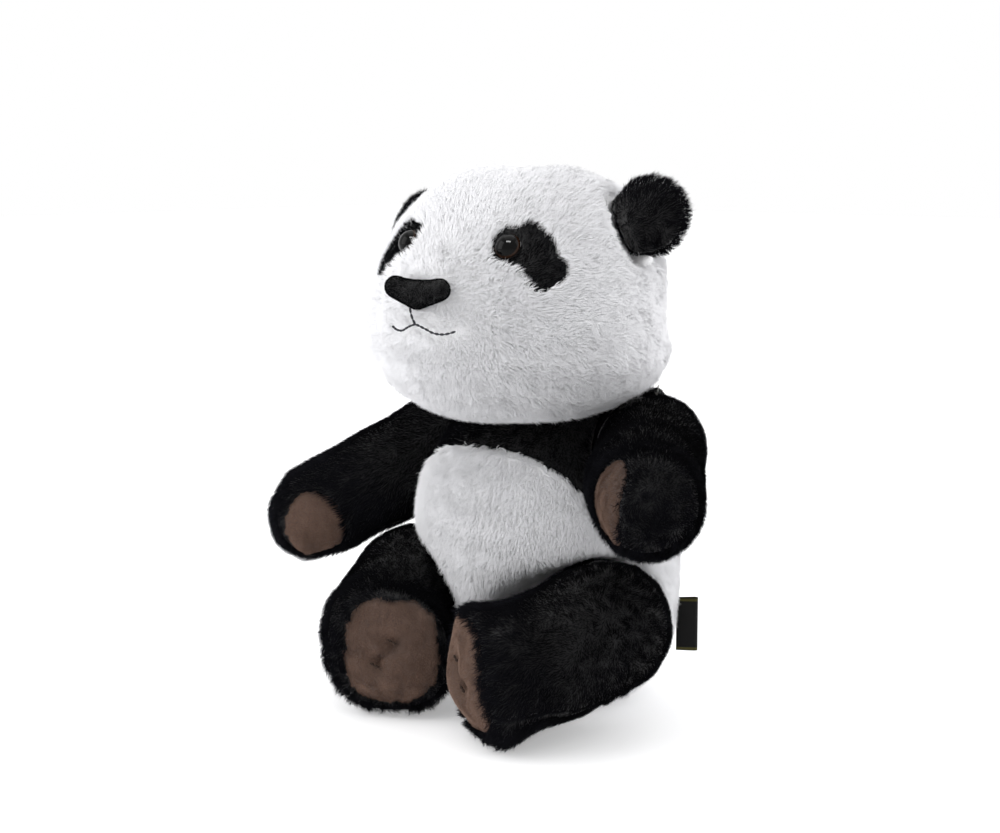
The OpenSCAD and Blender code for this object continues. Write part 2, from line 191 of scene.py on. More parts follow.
def new_object(name, points, faces):
    """A mesh object from points and equal-sided faces."""
    faces = np.asarray(faces, np.int32)
    mesh = bpy.data.meshes.new(name)
    mesh.vertices.add(len(points))
    mesh.vertices.foreach_set("co", np.asarray(points, np.float32).ravel())
    mesh.loops.add(faces.size)
    mesh.loops.foreach_set("vertex_index", faces.ravel())
    mesh.polygons.add(len(faces))
    starts = np.arange(0, faces.size, faces.shape[1], dtype=np.int32)
    mesh.polygons.foreach_set("loop_start", starts)
    mesh.update(calc_edges=True)
    mesh.polygons.foreach_set("use_smooth", np.ones(len(faces), bool))
    obj = bpy.data.objects.new(name, mesh)
    bpy.context.scene.collection.objects.link(obj)
    return obj


def soft_normals(mesh, normals):
    """Gives vertices their own shading normals."""
    mesh.normals_split_custom_set_from_vertices(normals.astype(np.float32))


def joined(names):
    """Points and triangles of several CAD nodes together."""
    points, triangles, start = [], [], 0
    for name in names:
        mesh = NODES[name].data
        own = points_of(mesh)
        points.append(own)
        triangles.append(triangles_of(mesh) + start)
        start += len(own)
    return np.concatenate(points), np.concatenate(triangles)


def tree_of(names):
    points, triangles = joined(names)
    return BVHTree.FromPolygons(points.tolist(), triangles.tolist())


def apply_modifiers(obj):
    graph = bpy.context.evaluated_depsgraph_get()
    mesh = bpy.data.meshes.new_from_object(obj.evaluated_get(graph))
    obj.modifiers.clear()
    obj.data = mesh


def largest_island(obj):
    """Keeps the island of faces with the largest box."""
    mesh = obj.data
    count = len(mesh.vertices)
    group = np.arange(count)
    edges = edges_of(mesh)
    while True:
        lowest = np.minimum(group[edges[:, 0]], group[edges[:, 1]])
        before = group.copy()
        np.minimum.at(group, edges[:, 0], lowest)
        np.minimum.at(group, edges[:, 1], lowest)
        group = group[group]
        if (group == before).all():
            break
    points = points_of(mesh)
    best = max(np.unique(group), key=lambda g: np.ptp(points[group == g], axis=0).prod())
    keep = group == best
    faces = np.array([p.vertices[:] for p in mesh.polygons])
    faces = faces[keep[faces[:, 0]]]
    number = np.cumsum(keep) - 1
    return points[keep], number[faces]


def voxel_form(name, nodes, voxel):
    """One closed quad surface round several CAD nodes."""
    points, triangles = joined(nodes)
    obj = new_object(name, points, triangles)
    remesh = obj.modifiers.new("remesh", "REMESH")
    remesh.mode = "VOXEL"
    remesh.voxel_size = voxel
    apply_modifiers(obj)
    points, quads = largest_island(obj)
    bpy.data.objects.remove(obj)
    return points, quads


def quad_edges(quads):
    pairs = np.concatenate([quads[:, [i, (i + 1) % 4]] for i in range(4)])
    return np.unique(np.sort(pairs, axis=1), axis=0)


def neighbour_mean(values, edges, count):
    total = np.zeros_like(values)
    np.add.at(total, edges[:, 0], values[edges[:, 1]])
    np.add.at(total, edges[:, 1], values[edges[:, 0]])
    share = np.bincount(edges.ravel(), minlength=count)
    return total / share.reshape(-1, *[1] * (values.ndim - 1))


def relax(points, edges, rounds):
    """Taubin smoothing: softens facets and keeps the size."""
    for _ in range(rounds):
        for step in (0.5, -0.53):
            points = points + step * (neighbour_mean(points, edges, len(points)) - points)
    return points


def split_quads(quads):
    return np.concatenate([quads[:, [0, 1, 2]], quads[:, [0, 2, 3]]])


def distances(tree, points):
    return np.array([tree.find_nearest(p)[3] for p in points.tolist()])


CLOTH_FRAMES = 20


def inflate(name, points, quads, held, most):
    """Blows the closed form up with Cloth; held points stay, others move up to most."""
    obj = new_object(name, points, quads)
    pins = obj.vertex_groups.new(name="held")
    pins.add(np.flatnonzero(held).tolist(), 1.0, "REPLACE")
    cloth = obj.modifiers.new("cloth", "CLOTH")
    settings = cloth.settings
    settings.quality = 5
    settings.mass = 0.25
    settings.tension_stiffness = 20
    settings.compression_stiffness = 20
    settings.shear_stiffness = 8
    settings.bending_stiffness = 0.6
    settings.use_pressure = True
    settings.uniform_pressure_force = 4
    settings.vertex_group_mass = "held"
    settings.effector_weights.gravity = 0
    cloth.collision_settings.use_collision = False
    cloth.point_cache.frame_start = 1
    cloth.point_cache.frame_end = CLOTH_FRAMES
    for step in range(1, CLOTH_FRAMES + 1):
        bpy.context.scene.frame_set(step)
    graph = bpy.context.evaluated_depsgraph_get()
    moved = points_of(obj.evaluated_get(graph).data)
    obj.modifiers.clear()
    bpy.data.objects.remove(obj)
    bpy.context.scene.frame_set(1)
    shift = moved - points
    length = np.linalg.norm(shift, axis=1, keepdims=True)
    return points + shift * np.minimum(1, most / np.maximum(length, 1e-9))


def subdivided(points, quads):
    """One Catmull-Clark subdivision of a closed quad form."""
    obj = new_object("work", points, quads)
    step = obj.modifiers.new("subdivide", "SUBSURF")
    step.levels = step.render_levels = 1
    apply_modifiers(obj)
    faces = np.zeros(len(obj.data.polygons) * 4, np.int32)
    obj.data.polygons.foreach_get("vertices", faces)
    points = points_of(obj.data)
    bpy.data.objects.remove(obj)
    return points, faces.reshape(-1, 4)


def smooth_step(value, low, high):
    t = np.clip((value - low) / (high - low), 0, 1)
    return t * t * (3 - 2 * t)


def waves(points, size, seed):
    """Three smooth random fields, from about -1 to 1, that change over about size."""
    waves_each, range_of_sum = 7, 2.6
    rng = np.random.default_rng(seed)
    out = np.zeros((len(points), 3))
    for axis in range(3):
        for _ in range(waves_each):
            k = unit(rng.normal(size=3)) * (2 * math.pi / (size * rng.uniform(0.7, 1.7)))
            out[:, axis] += np.sin(points @ k + rng.uniform(0, 2 * math.pi))
    return out / range_of_sum


# ---------- materials ----------
def pile_material(name, root, tip, roughness, sheen, sheen_colour, vary, gloss):
    """Fur: v runs from root to tip, darker at the root as painted shade in the pile and lighter at the tip as
    painted light; u from the dark strands to the light ones.
    """
    def build(link, add, shader):
        uv = add("ShaderNodeUVMap", uv_map="OFBake")
        parts = add("ShaderNodeSeparateXYZ")
        link(uv.outputs["UV"], parts.inputs[0])
        between = [r * 0.45 + t * 0.55 for r, t in zip(root, tip)]
        # painted shade and light along each strand: dark root deep in the pile, light tip
        along = colour_ramp(add, [(0.0, root), (0.45, between), (1.0, tip)])
        link(parts.outputs["Y"], along.inputs["Fac"])
        place = add("ShaderNodeTexCoord")
        patches = add("ShaderNodeTexNoise", in_Scale=55, in_Detail=3)
        link(place.outputs["Object"], patches.inputs["Vector"])
        both = add("ShaderNodeMath", operation="ADD")
        link(parts.outputs["X"], both.inputs[0])
        link(patches.outputs["Fac"], both.inputs[1])
        value = add("ShaderNodeMapRange")
        value.inputs["From Min"].default_value = 0.3
        value.inputs["From Max"].default_value = 1.7
        value.inputs["To Min"].default_value = 1 - vary
        value.inputs["To Max"].default_value = 1 + vary
        link(both.outputs[0], value.inputs["Value"])
        tint = add("ShaderNodeHueSaturation")
        link(along.outputs["Color"], tint.inputs["Color"])
        link(value.outputs["Result"], tint.inputs["Value"])
        link(tint.outputs["Color"], shader.inputs["Base Color"])
        shader.inputs["Roughness"].default_value = roughness
        shader.inputs["Sheen Weight"].default_value = sheen
        shader.inputs["Sheen Roughness"].default_value = 0.4
        shader.inputs["Sheen Tint"].default_value = (*sheen_colour, 1)
        shader.inputs["Specular IOR Level"].default_value = gloss
    return node_material(name, build)


def cloth_material(name, dark, light, weave=900, roughness=0.9, depth=0.00015):
    """Knitted backing: fine crossed ribs with soft blotches."""
    def build(link, add, shader):
        place = add("ShaderNodeTexCoord")
        ribs = add("ShaderNodeTexWave", in_Scale=weave, in_Distortion=2.0, in_Detail=1)
        link(place.outputs["Object"], ribs.inputs["Vector"])
        blotch = add("ShaderNodeTexNoise", in_Scale=160, in_Detail=5)
        link(place.outputs["Object"], blotch.inputs["Vector"])
        ramp = colour_ramp(add, [(0.3, dark), (0.7, light)])
        link(blotch.outputs["Fac"], ramp.inputs["Fac"])
        link(ramp.outputs["Color"], shader.inputs["Base Color"])
        bump = add("ShaderNodeBump", in_Strength=0.5, in_Distance=depth)
        link(ribs.outputs["Fac"], bump.inputs["Height"])
        link(bump.outputs["Normal"], shader.inputs["Normal"])
        shader.inputs["Roughness"].default_value = roughness
        shader.inputs["Sheen Weight"].default_value = 0.2
    return node_material(name, build)


def thread_material(name, dark, light):
    """Twisted thread."""
    def build(link, add, shader):
        place = add("ShaderNodeTexCoord")
        twist = add("ShaderNodeTexWave", in_Scale=700, in_Distortion=1.0,
                    bands_direction="DIAGONAL")
        link(place.outputs["Object"], twist.inputs["Vector"])
        ramp = colour_ramp(add, [(0.2, dark), (0.8, light)])
        link(twist.outputs["Fac"], ramp.inputs["Fac"])
        link(ramp.outputs["Color"], shader.inputs["Base Color"])
        bump = add("ShaderNodeBump", in_Strength=0.6, in_Distance=0.0002)
        link(twist.outputs["Fac"], bump.inputs["Height"])
        link(bump.outputs["Normal"], shader.inputs["Normal"])
        shader.inputs["Roughness"].default_value = 0.9
        shader.inputs["IOR"].default_value = 1.2
    return node_material(name, build)


def fibre_material():
    """Loose polyester fill."""
    def build(link, add, shader):
        place = add("ShaderNodeTexCoord")
        fibres = add("ShaderNodeTexNoise", in_Scale=420, in_Detail=6, in_Distortion=2.5)
        link(place.outputs["Object"], fibres.inputs["Vector"])
        ramp = colour_ramp(add, [(0.3, (0.72, 0.71, 0.67)), (0.7, (0.93, 0.92, 0.88))])
        link(fibres.outputs["Fac"], ramp.inputs["Fac"])
        link(ramp.outputs["Color"], shader.inputs["Base Color"])
        bump = add("ShaderNodeBump", in_Strength=0.8, in_Distance=0.0008)
        link(fibres.outputs["Fac"], bump.inputs["Height"])
        link(bump.outputs["Normal"], shader.inputs["Normal"])
        shader.inputs["Roughness"].default_value = 0.95
    return node_material("fibre_fill", build)


def plastic_material():
    """Milky moulded washer."""
    def build(link, add, shader):
        place = add("ShaderNodeTexCoord")
        cloud = add("ShaderNodeTexNoise", in_Scale=300, in_Detail=4)
        link(place.outputs["Object"], cloud.inputs["Vector"])
        ramp = colour_ramp(add, [(0.3, (0.62, 0.62, 0.60)), (0.7, (0.72, 0.72, 0.70))])
        link(cloud.outputs["Fac"], ramp.inputs["Fac"])
        link(ramp.outputs["Color"], shader.inputs["Base Color"])
        shader.inputs["Roughness"].default_value = 0.45
    return node_material("moulded_washer", build)


# root, tip, roughness, sheen, sheen colour, how much the strands vary, gloss
# each root colour is darker than its tip: painted shade deep in the pile, painted light on the tips
WHITE_PILE = pile_material("white_pile", (0.83, 0.835, 0.855), (0.88, 0.88, 0.90),
                           0.9, 0.1, (1, 1, 1), 0.04, 0.1)
BLACK_PILE = pile_material("black_pile", (0.0004, 0.0004, 0.0006), (0.0050, 0.0050, 0.0066),
                           0.6, 0.005, (0.55, 0.55, 0.62), 0.9, 0.01)
BROWN_PILE = pile_material("brown_pile", (0.036, 0.021, 0.016), (0.190, 0.118, 0.088),
                           0.8, 0.15, (0.9, 0.75, 0.65), 0.22, 0.15)
NOSE_PILE = pile_material("nose_pile", (0.0006, 0.0006, 0.0008), (0.0030, 0.0030, 0.0038),
                          0.6, 0.004, (0.5, 0.5, 0.55), 0.3, 0.01)
WHITE_CLOTH = cloth_material("white_backing", (0.84, 0.84, 0.85), (0.93, 0.93, 0.94))
BLACK_CLOTH = cloth_material("black_backing", (0.002, 0.002, 0.003), (0.005, 0.005, 0.006))
BROWN_CLOTH = cloth_material("brown_backing", (0.08, 0.048, 0.036), (0.13, 0.08, 0.06))
BLACK_THREAD = thread_material("black_thread", (0.008, 0.008, 0.009), (0.05, 0.05, 0.055))
MOUTH_THREAD = thread_material("mouth_thread", (0.012, 0.012, 0.015), (0.07, 0.07, 0.08))
SOLE_THREAD = thread_material("sole_thread", (0.015, 0.009, 0.006), (0.050, 0.032, 0.025))
WHITE_THREAD = thread_material("white_thread", (0.6, 0.6, 0.6), (0.85, 0.85, 0.85))
FIBRE = fibre_material()
WASHER = plastic_material()
PILE = {"white_plush": WHITE_PILE, "black_plush": BLACK_PILE, "brown_velour": BROWN_PILE,
        "nose_velour": NOSE_PILE}
CLOTH = {"white_plush": WHITE_CLOTH, "black_plush": BLACK_CLOTH, "brown_velour": BROWN_CLOTH,
         "nose_velour": BLACK_CLOTH}
# strands per square millimetre, length, widest radius, lean at root and at tip in degrees
GROOM = {"white_plush": (3.0, 6.6 * MM, 0.125 * MM, 26, 60),
         "black_plush": (3.0, 7.2 * MM, 0.125 * MM, 26, 58),
         "brown_velour": (7.0, 2.0 * MM, 0.095 * MM, 20, 52),
         "nose_velour": (9.0, 1.5 * MM, 0.09 * MM, 30, 55)}
# how far the strands shade like the skin below them, so that light looks scattered in the pile
SOFTNESS = {"white_plush": 0.9, "black_plush": 0.35, "brown_velour": 0.3, "nose_velour": 0.3}


# ---------- landmarks from the frame ----------
def middle(node):
    low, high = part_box(node)
    return np.array((low + high) / 2)


NOSE = middle("nose")
EYES = [middle("eye_left"), middle("eye_right")]
ROOTS = {body: np.array(JOINT[body]["pos_m"]) for body in JOINT}


def mouth_curve():
    """The mouth line from one corner to the other, without the line up to the nose."""
    low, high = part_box("mouth_stitch")
    points = points_of(NODES["mouth_stitch"].data)
    out = []
    for x in np.linspace(low.x + 0.8 * MM, high.x - 0.8 * MM, 9):
        near = points[np.abs(points[:, 0] - x) < 1.2 * MM]
        if abs(x) < 1 * MM:
            near = near[near[:, 2] < near[:, 2].min() + 1.7 * MM]
        out.append([x, near[:, 1].mean(), near[:, 2].mean()])
    return np.array(out)


MOUTH = mouth_curve()


def segment_distance(points, path):
    """Distance from each point to an open polyline."""
    best = np.full(len(points), np.inf)
    for a, b in zip(path[:-1], path[1:]):
        t = np.clip((points - a) @ (b - a) / ((b - a) @ (b - a)), 0, 1)[:, None]
        best = np.minimum(best, np.linalg.norm(points - a - t * (b - a), axis=1))
    return best


def flow(body, points, normals):
    """Direction that the pile is brushed in, along the surface."""
    if body == "head":
        way = points - (NOSE + np.array([0, 0.022, -0.004]))
        way[:, 2] -= 0.25 * np.linalg.norm(way, axis=1) * (points[:, 1] > -0.02)
    elif body.startswith(("arm", "leg", "ear")):
        way = points - ROOTS[body]
    elif body == "tail":
        way = points - middle("body_stuffing")
    elif body == "nose":
        way = points - (NOSE + np.array([0, 0.01, 0.012]))
    else:
        way = np.tile([0.0, 0.0, -1.0], (len(points), 1))
        way[:, 0] += points[:, 0] * 4
    way = unit(way)
    return way - (way * normals).sum(1, keepdims=True) * normals


def end_share(body, points):
    """1 at the foot or paw of a limb, 0 further up."""
    kind, side = body.split("_")
    end = middle("sole_" + side) if kind == "leg" else middle("paw_pad_" + side)
    near, far = (34 * MM, 52 * MM) if kind == "leg" else (26 * MM, 56 * MM)
    return 1 - smooth_step(np.linalg.norm(points - end, axis=1), near, far)


def pile_length(body, slot, points):
    """How much of the full length the pile has, shorter round the eyes, nose and mouth."""
    share = np.ones(len(points))
    if body == "head":
        for eye in EYES:
            gap = np.linalg.norm(points - eye, axis=1)
            share *= 0.42 + 0.58 * smooth_step(gap, 5 * MM, 12 * MM)
        gap = segment_distance(points, MOUTH)
        share *= 0.40 + 0.60 * smooth_step(gap, 1.5 * MM, 7 * MM)
        gap = np.linalg.norm(points - NOSE, axis=1)
        share *= 0.62 + 0.38 * smooth_step(gap, 18 * MM, 40 * MM)
    if slot == "black_plush":
        if body.startswith(("arm", "leg")):
            share *= 0.55 + 0.45 * end_share(body, points)
        elif body.startswith("ear"):
            share *= 0.85
        else:
            share *= 0.6
    return share


def tone_and_painted_sheen(body, slot, points):
    """Middle of the light range for each strand: black pile is lighter at the feet and paws, a painted sheen, and
    brown pile is mottled at random.
    """
    if slot == "brown_velour":
        return 0.5 + 0.22 * waves(points, 3.5 * MM, SEED + 2)[:, 0]
    if slot != "black_plush":
        return np.full(len(points), 0.5)
    if body.startswith(("arm", "leg")):
        # painted sheen: black limb strands grow lighter towards the feet and paws
        return 0.18 + 0.60 * end_share(body, points)
    return np.full(len(points), 0.45 if body.startswith("ear") else 0.18)


COLUMNS = 48            # steps of light and dark among the strands
LOWER, UPPER = 0.52, 0.48   # shares of a strand below and above its bend
STRAND_FLOOR = 0.35 * MM


def strands(name, body, slot, roots, normals, share, flat, rng):
    """Closed bent spindles, one a strand, as one mesh."""
    _, length, radius, lean_root, lean_tip = GROOM[slot]
    count = len(roots)
    brushed = flow(body, roots, normals)
    curl = waves(roots, 9 * MM, SEED)
    tuft = waves(roots, 4 * MM, SEED + 1)
    jitter = rng.normal(size=(count, 3))
    side = brushed + curl * 0.30 + tuft * 0.22 + jitter * 0.16
    side -= (side * normals).sum(1, keepdims=True) * normals
    side = unit(side)
    full = length * share * rng.uniform(0.78, 1.12, count)
    low = np.radians(lean_root + (85 - lean_root) * flat + rng.normal(0, 5, count))[:, None]
    high = np.radians(lean_tip + (88 - lean_tip) * flat + rng.normal(0, 7, count))[:, None]
    first = normals * np.cos(low) + side * np.sin(low)
    second = normals * np.cos(high) + side * np.sin(high)
    start = roots - normals * 0.3 * MM
    bend = start + first * full[:, None] * LOWER
    tip = bend + second * full[:, None] * UPPER
    for end in (bend, tip):
        end[:, 2] = np.maximum(end[:, 2], STRAND_FLOOR + rng.uniform(0, 0.5 * MM, count))
    start[:, 2] = np.maximum(start[:, 2], STRAND_FLOOR)
    along = unit(tip - start)
    across = unit(np.cross(along, normals + 1e-4))
    other = np.cross(along, across)
    wide = (radius * rng.uniform(0.75, 1.25, count))[:, None]
    corners = []
    for k in range(3):
        angle = 2 * math.pi * k / 3
        corners.append(bend + wide * (across * math.cos(angle) + other * math.sin(angle)))
    points = np.stack([start, *corners, tip], axis=1)
    points[:, :, 2] = np.maximum(points[:, :, 2], 0.1 * MM)
    pattern = np.array([[0, 2, 1], [0, 3, 2], [0, 1, 3], [4, 1, 2], [4, 2, 3], [4, 3, 1]])
    faces = (pattern[None] + 5 * np.arange(count)[:, None, None]).reshape(-1, 3)
    obj = new_object(name, points.reshape(-1, 3), faces)
    # light range of each strand: random spread, plus the painted sheen of the black limbs
    light = tone_and_painted_sheen(body, slot, roots) + rng.uniform(-0.22, 0.22, count)
    column = np.clip(light * COLUMNS, 0, COLUMNS - 1).astype(int)
    u = (column[:, None] + np.array([0.5, 0.15, 0.5, 0.85, 0.5])[None]) / COLUMNS
    v = np.tile([0.02, 0.52, 0.52, 0.52, 0.98], (count, 1))
    uv = np.stack([u, v], axis=2).reshape(-1, 2)[faces.ravel()]
    layer = obj.data.uv_layers.new(name="OFBake")
    layer.data.foreach_set("uv", uv.astype(np.float32).ravel())
    own = np.stack([-along * 0.3 + normals, *[unit(c - bend) for c in corners],
                    along * 0.5 + normals], axis=1)
    soft = SOFTNESS[slot]
    soft_normals(obj.data, unit(own * (1 - soft) + normals[:, None] * soft).reshape(-1, 3))
    obj.data.materials.append(PILE[slot])
    return obj


MOST_STRANDS = 32000    # in one piece
LEAST_SHARE = 0.12      # shorter strands are left out


def grow(name, body, slot, points, triangles, normals, extra, ride_on, rng):
    """Covers triangles with pile; extra holds per-point length share and flatness."""
    density = GROOM[slot][0] * 1.0
    a, b, c = (points[triangles[:, k]] for k in range(3))
    area = np.linalg.norm(np.cross(b - a, c - a), axis=1) / 2
    crowd = 0.45 + 0.55 * smooth_step(extra[:, 0], 0.3, 0.6)
    area = area * crowd[triangles].mean(1)
    number = np.floor(area / MM ** 2 * density + rng.random(len(area))).astype(int)
    picked = np.repeat(np.arange(len(area)), number)
    s, t = rng.random(len(picked)), rng.random(len(picked))
    over = s + t > 1
    s[over], t[over] = 1 - s[over], 1 - t[over]
    weights = np.stack([1 - s - t, s, t], axis=1)
    corner = triangles[picked]

    def at(values):
        return (values[corner] * (weights[:, :, None] if values.ndim == 2 else weights)).sum(1)
    roots, facing = at(points), unit(at(normals))
    share = at(extra[:, 0]) * pile_length(body, slot, roots)
    flat = at(extra[:, 1])
    order = rng.permutation(np.flatnonzero(share > LEAST_SHARE))
    parts = max(1, math.ceil(len(order) / MOST_STRANDS))
    for part, chunk in enumerate(np.array_split(order, parts)):
        piece = strands(f"{name}_pile_{part + 1}", body, slot, roots[chunk], facing[chunk],
                        share[chunk], flat[chunk], rng)
        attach(piece, ride_on)


# ---------- stuffed skins ----------
def covers_of(body):
    return [n for n in BODIES[body] if SLOT[n] in FUR_SLOTS and n not in LOOSE_PARTS]


def fill_of(body):
    return [n for n in BODIES[body] if SLOT[n] == "stuffing"]


VOXEL = {"torso": 4.5 * MM, "head": 4.2 * MM, "arm": 3.6 * MM, "leg": 3.8 * MM, "ear": 2.4 * MM}
EYE_SURROUND = 10.5 * MM    # an eye patch reaches at least this far round its eye


def label_points(points, covers):
    """Number of the nearest CAD cover for each point."""
    gaps = np.stack([distances(tree_of([n]), points) for n in covers])
    for side, eye in zip(("left", "right"), EYES):
        if "eye_patch_" + side in covers:
            inside = np.maximum(EYE_SURROUND - np.linalg.norm(points - eye, axis=1), 0)
            gaps[covers.index("eye_patch_" + side)] -= 2 * inside
    return gaps.argmin(0)


def sink_seams(points, normals, edges, labels, depth):
    """Draws the skin in along the seams between covers."""
    border = np.zeros(len(points))
    mixed = labels[edges[:, 0]] != labels[edges[:, 1]]
    border[edges[mixed].ravel()] = 1
    for _ in range(2):
        border = np.maximum(border, 0.55 * neighbour_mean(border, edges, len(points)))
    return points - normals * (border * depth)[:, None]


def seam_closeness(edges, labels, wanted):
    """1 on the seams between the wanted covers, fading to 0 beside them."""
    close = np.zeros(len(labels))
    mixed = (labels[edges[:, 0]] != labels[edges[:, 1]]) & np.isin(labels[edges], wanted).all(1)
    close[edges[mixed].ravel()] = 1
    return np.maximum(close, 0.5 * neighbour_mean(close, edges, len(labels)))


def stitch_centres(node):
    """Middles of the two pulled stitches of a sole."""
    points = points_of(NODES[node].data)
    high = points[:, 2] > np.median(points[:, 2])
    return [points[high].mean(0), points[~high].mean(0)]


def press_soles(body, points, normals, labels, covers, more=1.0):
    """Dimples at the pulled stitches and a crease from the lower one to the outer edge."""
    side = body.split("_")[1]
    pad = labels == covers.index("sole_" + side)
    upper, lower = stitch_centres("toe_stitches_" + side)
    depth = np.zeros(len(points))
    for centre in (upper, lower):
        gap = np.linalg.norm(points - centre, axis=1)
        depth += 4.2 * MM * np.exp(-(gap / (6.5 * MM)) ** 2)
    outward = middle("leg_%s_under" % side) - lower
    outward = unit(outward * np.array([1, 1, 0]))
    edge = lower + outward * 30 * MM + np.array([0, 0, 4 * MM])
    for start, end, size in ((lower, edge, 2.2 * MM), (upper, lower, 2.0 * MM)):
        gap = segment_distance(points, np.array([start, end]))
        depth += size * np.exp(-(gap / (3.0 * MM)) ** 2)
    return points - normals * (depth * pad * more)[:, None]


def shell_piece(name, points, quads, material):
    """A cloth panel with its own thickness."""
    used = np.unique(quads)
    number = np.zeros(len(points), int)
    number[used] = np.arange(len(used))
    obj = new_object(name, points[used], number[quads])
    solid = obj.modifiers.new("thickness", "SOLIDIFY")
    solid.thickness = 1.1 * MM
    solid.offset = -1
    apply_modifiers(obj)
    obj.data.polygons.foreach_set("use_smooth", np.ones(len(obj.data.polygons), bool))
    obj.data.materials.append(material)
    return obj


def kept_inside(core, points, quads, margin):
    """Pulls fill that is less than margin under the skin, or outside it, back inside."""
    skin = BVHTree.FromPolygons(points.tolist(), split_quads(quads).tolist())
    out = core.copy()
    for _ in range(2):
        found = [skin.find_nearest(p) for p in out.tolist()]
        spot = np.array([f[0] for f in found])
        facing = np.array([f[1] for f in found])
        above = ((out - spot) * facing).sum(1) > -margin
        out[above] = spot[above] - facing[above] * margin * 1.05
    return out


def groomed(kind, points, normals, edges, labels, covers, near):
    """Length share and flatness of the pile at each point: short and flat where things touch."""
    touch, floor_line = 0.5 * MM, 1.5 * MM
    least = 0.55 if kind == "head" else 0.3
    share = least + (1 - least) * smooth_step(near, touch, 10 * MM)
    flat = 0.75 * (1 - smooth_step(near, touch, 8 * MM))
    floor_near = smooth_step(points[:, 2], floor_line, 9 * MM)
    flat = np.maximum(flat, 0.7 * (1 - floor_near) * (normals[:, 2] < 0.3))
    underside = (normals[:, 2] < -0.5) & (points[:, 2] < 4 * MM)
    share = np.where(underside, 0.3, share)
    if kind == "head":
        ears = tree_of(covers_of("ear_left") + covers_of("ear_right"))
        room = np.maximum(distances(ears, points) - 1.8 * MM, 0)
        share = np.minimum(share, room / (7.5 * MM))
    if kind == "leg":
        upper = [covers.index(n) for n in covers if "sole" not in n]
        share *= 1 - 0.6 * seam_closeness(edges, labels, upper)
    return np.stack([share, flat], axis=1)


def add_fill(node, body, points, quads, skin_points, skin_quads):
    """The fill, a little smaller than the skin and lumpy."""
    inner_normals = normals_of(points, split_quads(quads))
    rough = waves(points, 11 * MM, SEED + 7)[:, :1] * 0.7 * MM
    shrunk = points - inner_normals * (3.4 * MM + rough)
    shrunk = kept_inside(shrunk, skin_points, skin_quads, 1.3 * MM)
    core = new_object(node + "_fibre", shrunk, quads)
    core.data.materials.append(FIBRE)
    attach(core, body)
    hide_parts(node)


def stuffed_body(body):
    """Skins, pile and fill of one body."""
    kind = body.split("_")[0]
    covers = covers_of(body)
    fill = fill_of(body)
    rng = np.random.default_rng(SEED + sorted(BODIES).index(body))
    points, quads = voxel_form(body + "_form", covers + fill, VOXEL[kind])
    edges = quad_edges(quads)
    points = relax(points, edges, 8)
    others = tree_of([n for b in BODIES if b != body for n in covers_of(b)])
    near = distances(others, points)
    normals = normals_of(points, split_quads(quads))
    held = (points[:, 2] < 3 * MM) | (near < 2.5 * MM)
    labels = label_points(points, covers)
    mixed = labels[edges[:, 0]] != labels[edges[:, 1]]
    held[edges[mixed].ravel()] = True
    slack = np.where(held, 0.0, 1.2 * MM)[:, None]
    points = inflate(body + "_cloth", points - normals * slack, quads, held, 3.5 * MM)
    fill_points, fill_quads = points.copy(), quads
    points, quads = subdivided(points, quads)
    edges, triangles = quad_edges(quads), split_quads(quads)
    normals = normals_of(points, triangles)
    labels = label_points(points, covers)
    seam_depth = (0.5 if kind == "head" else 1.1) * MM
    points = sink_seams(points, normals, edges, labels, seam_depth)
    if kind == "leg":
        points = press_soles(body, points, normals, labels, covers)
    points[:, 2] = np.maximum(points[:, 2], 1.3 * MM)
    normals = normals_of(points, triangles)
    extra = groomed(kind, points, normals, edges, labels, covers, distances(others, points))
    votes = [np.bincount(row, minlength=len(covers)) for row in labels[quads]]
    face_label = np.argmax(votes, axis=1)
    for index, node in enumerate(covers):
        slot = SLOT[node]
        own = quads[face_label == index]
        skin = shell_piece(node + "_cloth", points, own, CLOTH[slot])
        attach(skin, body)
        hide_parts(node)
        grow(node, body, slot, points, split_quads(own), normals, extra, body, rng)
    if kind == "leg":
        fill_points = press_soles(body, fill_points,
                                  normals_of(fill_points, split_quads(fill_quads)),
                                  label_points(fill_points, covers), covers, 1.5)
    for node in fill:
        add_fill(node, body, fill_points, fill_quads, points, quads)


for body_name in BODIES:
    stuffed_body(body_name)


def fill_notch(points, dip):
    """Raises the middle of the nose's top edge to just under its two lobes."""
    x = points[:, 0]
    count = 14
    bins = np.linspace(x.min(), x.max(), count + 1)
    column = np.clip(np.digitize(x, bins) - 1, 0, count - 1)
    high = np.array([points[column == k, 2].max() for k in range(count)])
    low = np.array([points[column == k, 2].min() for k in range(count)])
    centres = (bins[:-1] + bins[1:]) / 2
    top, bottom = np.interp(x, centres, high), np.interp(x, centres, low)
    lobe = abs(centres[high.argmax()])
    wanted = high.max() - dip * (1 - np.minimum(np.abs(x) / lobe, 1) ** 2)
    lift = np.where(np.abs(x) < lobe, np.maximum(wanted - top, 0), 0)
    out = points.copy()
    out[:, 2] += lift * smooth_step((points[:, 2] - bottom) / (top - bottom), 0, 1)
    return out


def small_plush(node, body, voxel, way, material):
    """A small padded part with its own pile, such as the nose or the tail."""
    rng = np.random.default_rng(SEED + 40 + len(node))
    slot = SLOT[node]
    points, quads = voxel_form(node + "_form", [node], voxel)
    points = relax(points, quad_edges(quads), 10)
    if node == "nose":
        points = relax(fill_notch(points, 1.0 * MM), quad_edges(quads), 3)
    points, quads = subdivided(points, quads)
    skin = new_object(node + "_cloth", points, quads)
    skin.data.materials.append(material)
    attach(skin, body)
    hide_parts(node)
    triangles = split_quads(quads)
    normals = normals_of(points, triangles)
    extra = np.stack([np.ones(len(points)), np.zeros(len(points))], axis=1)
    grow(node, way, slot, points, triangles, normals, extra, body, rng)


small_plush("nose", "head", 1.3 * MM, "nose", BLACK_CLOTH)
small_plush("tail", "torso", 2.6 * MM, "tail", WHITE_CLOTH)


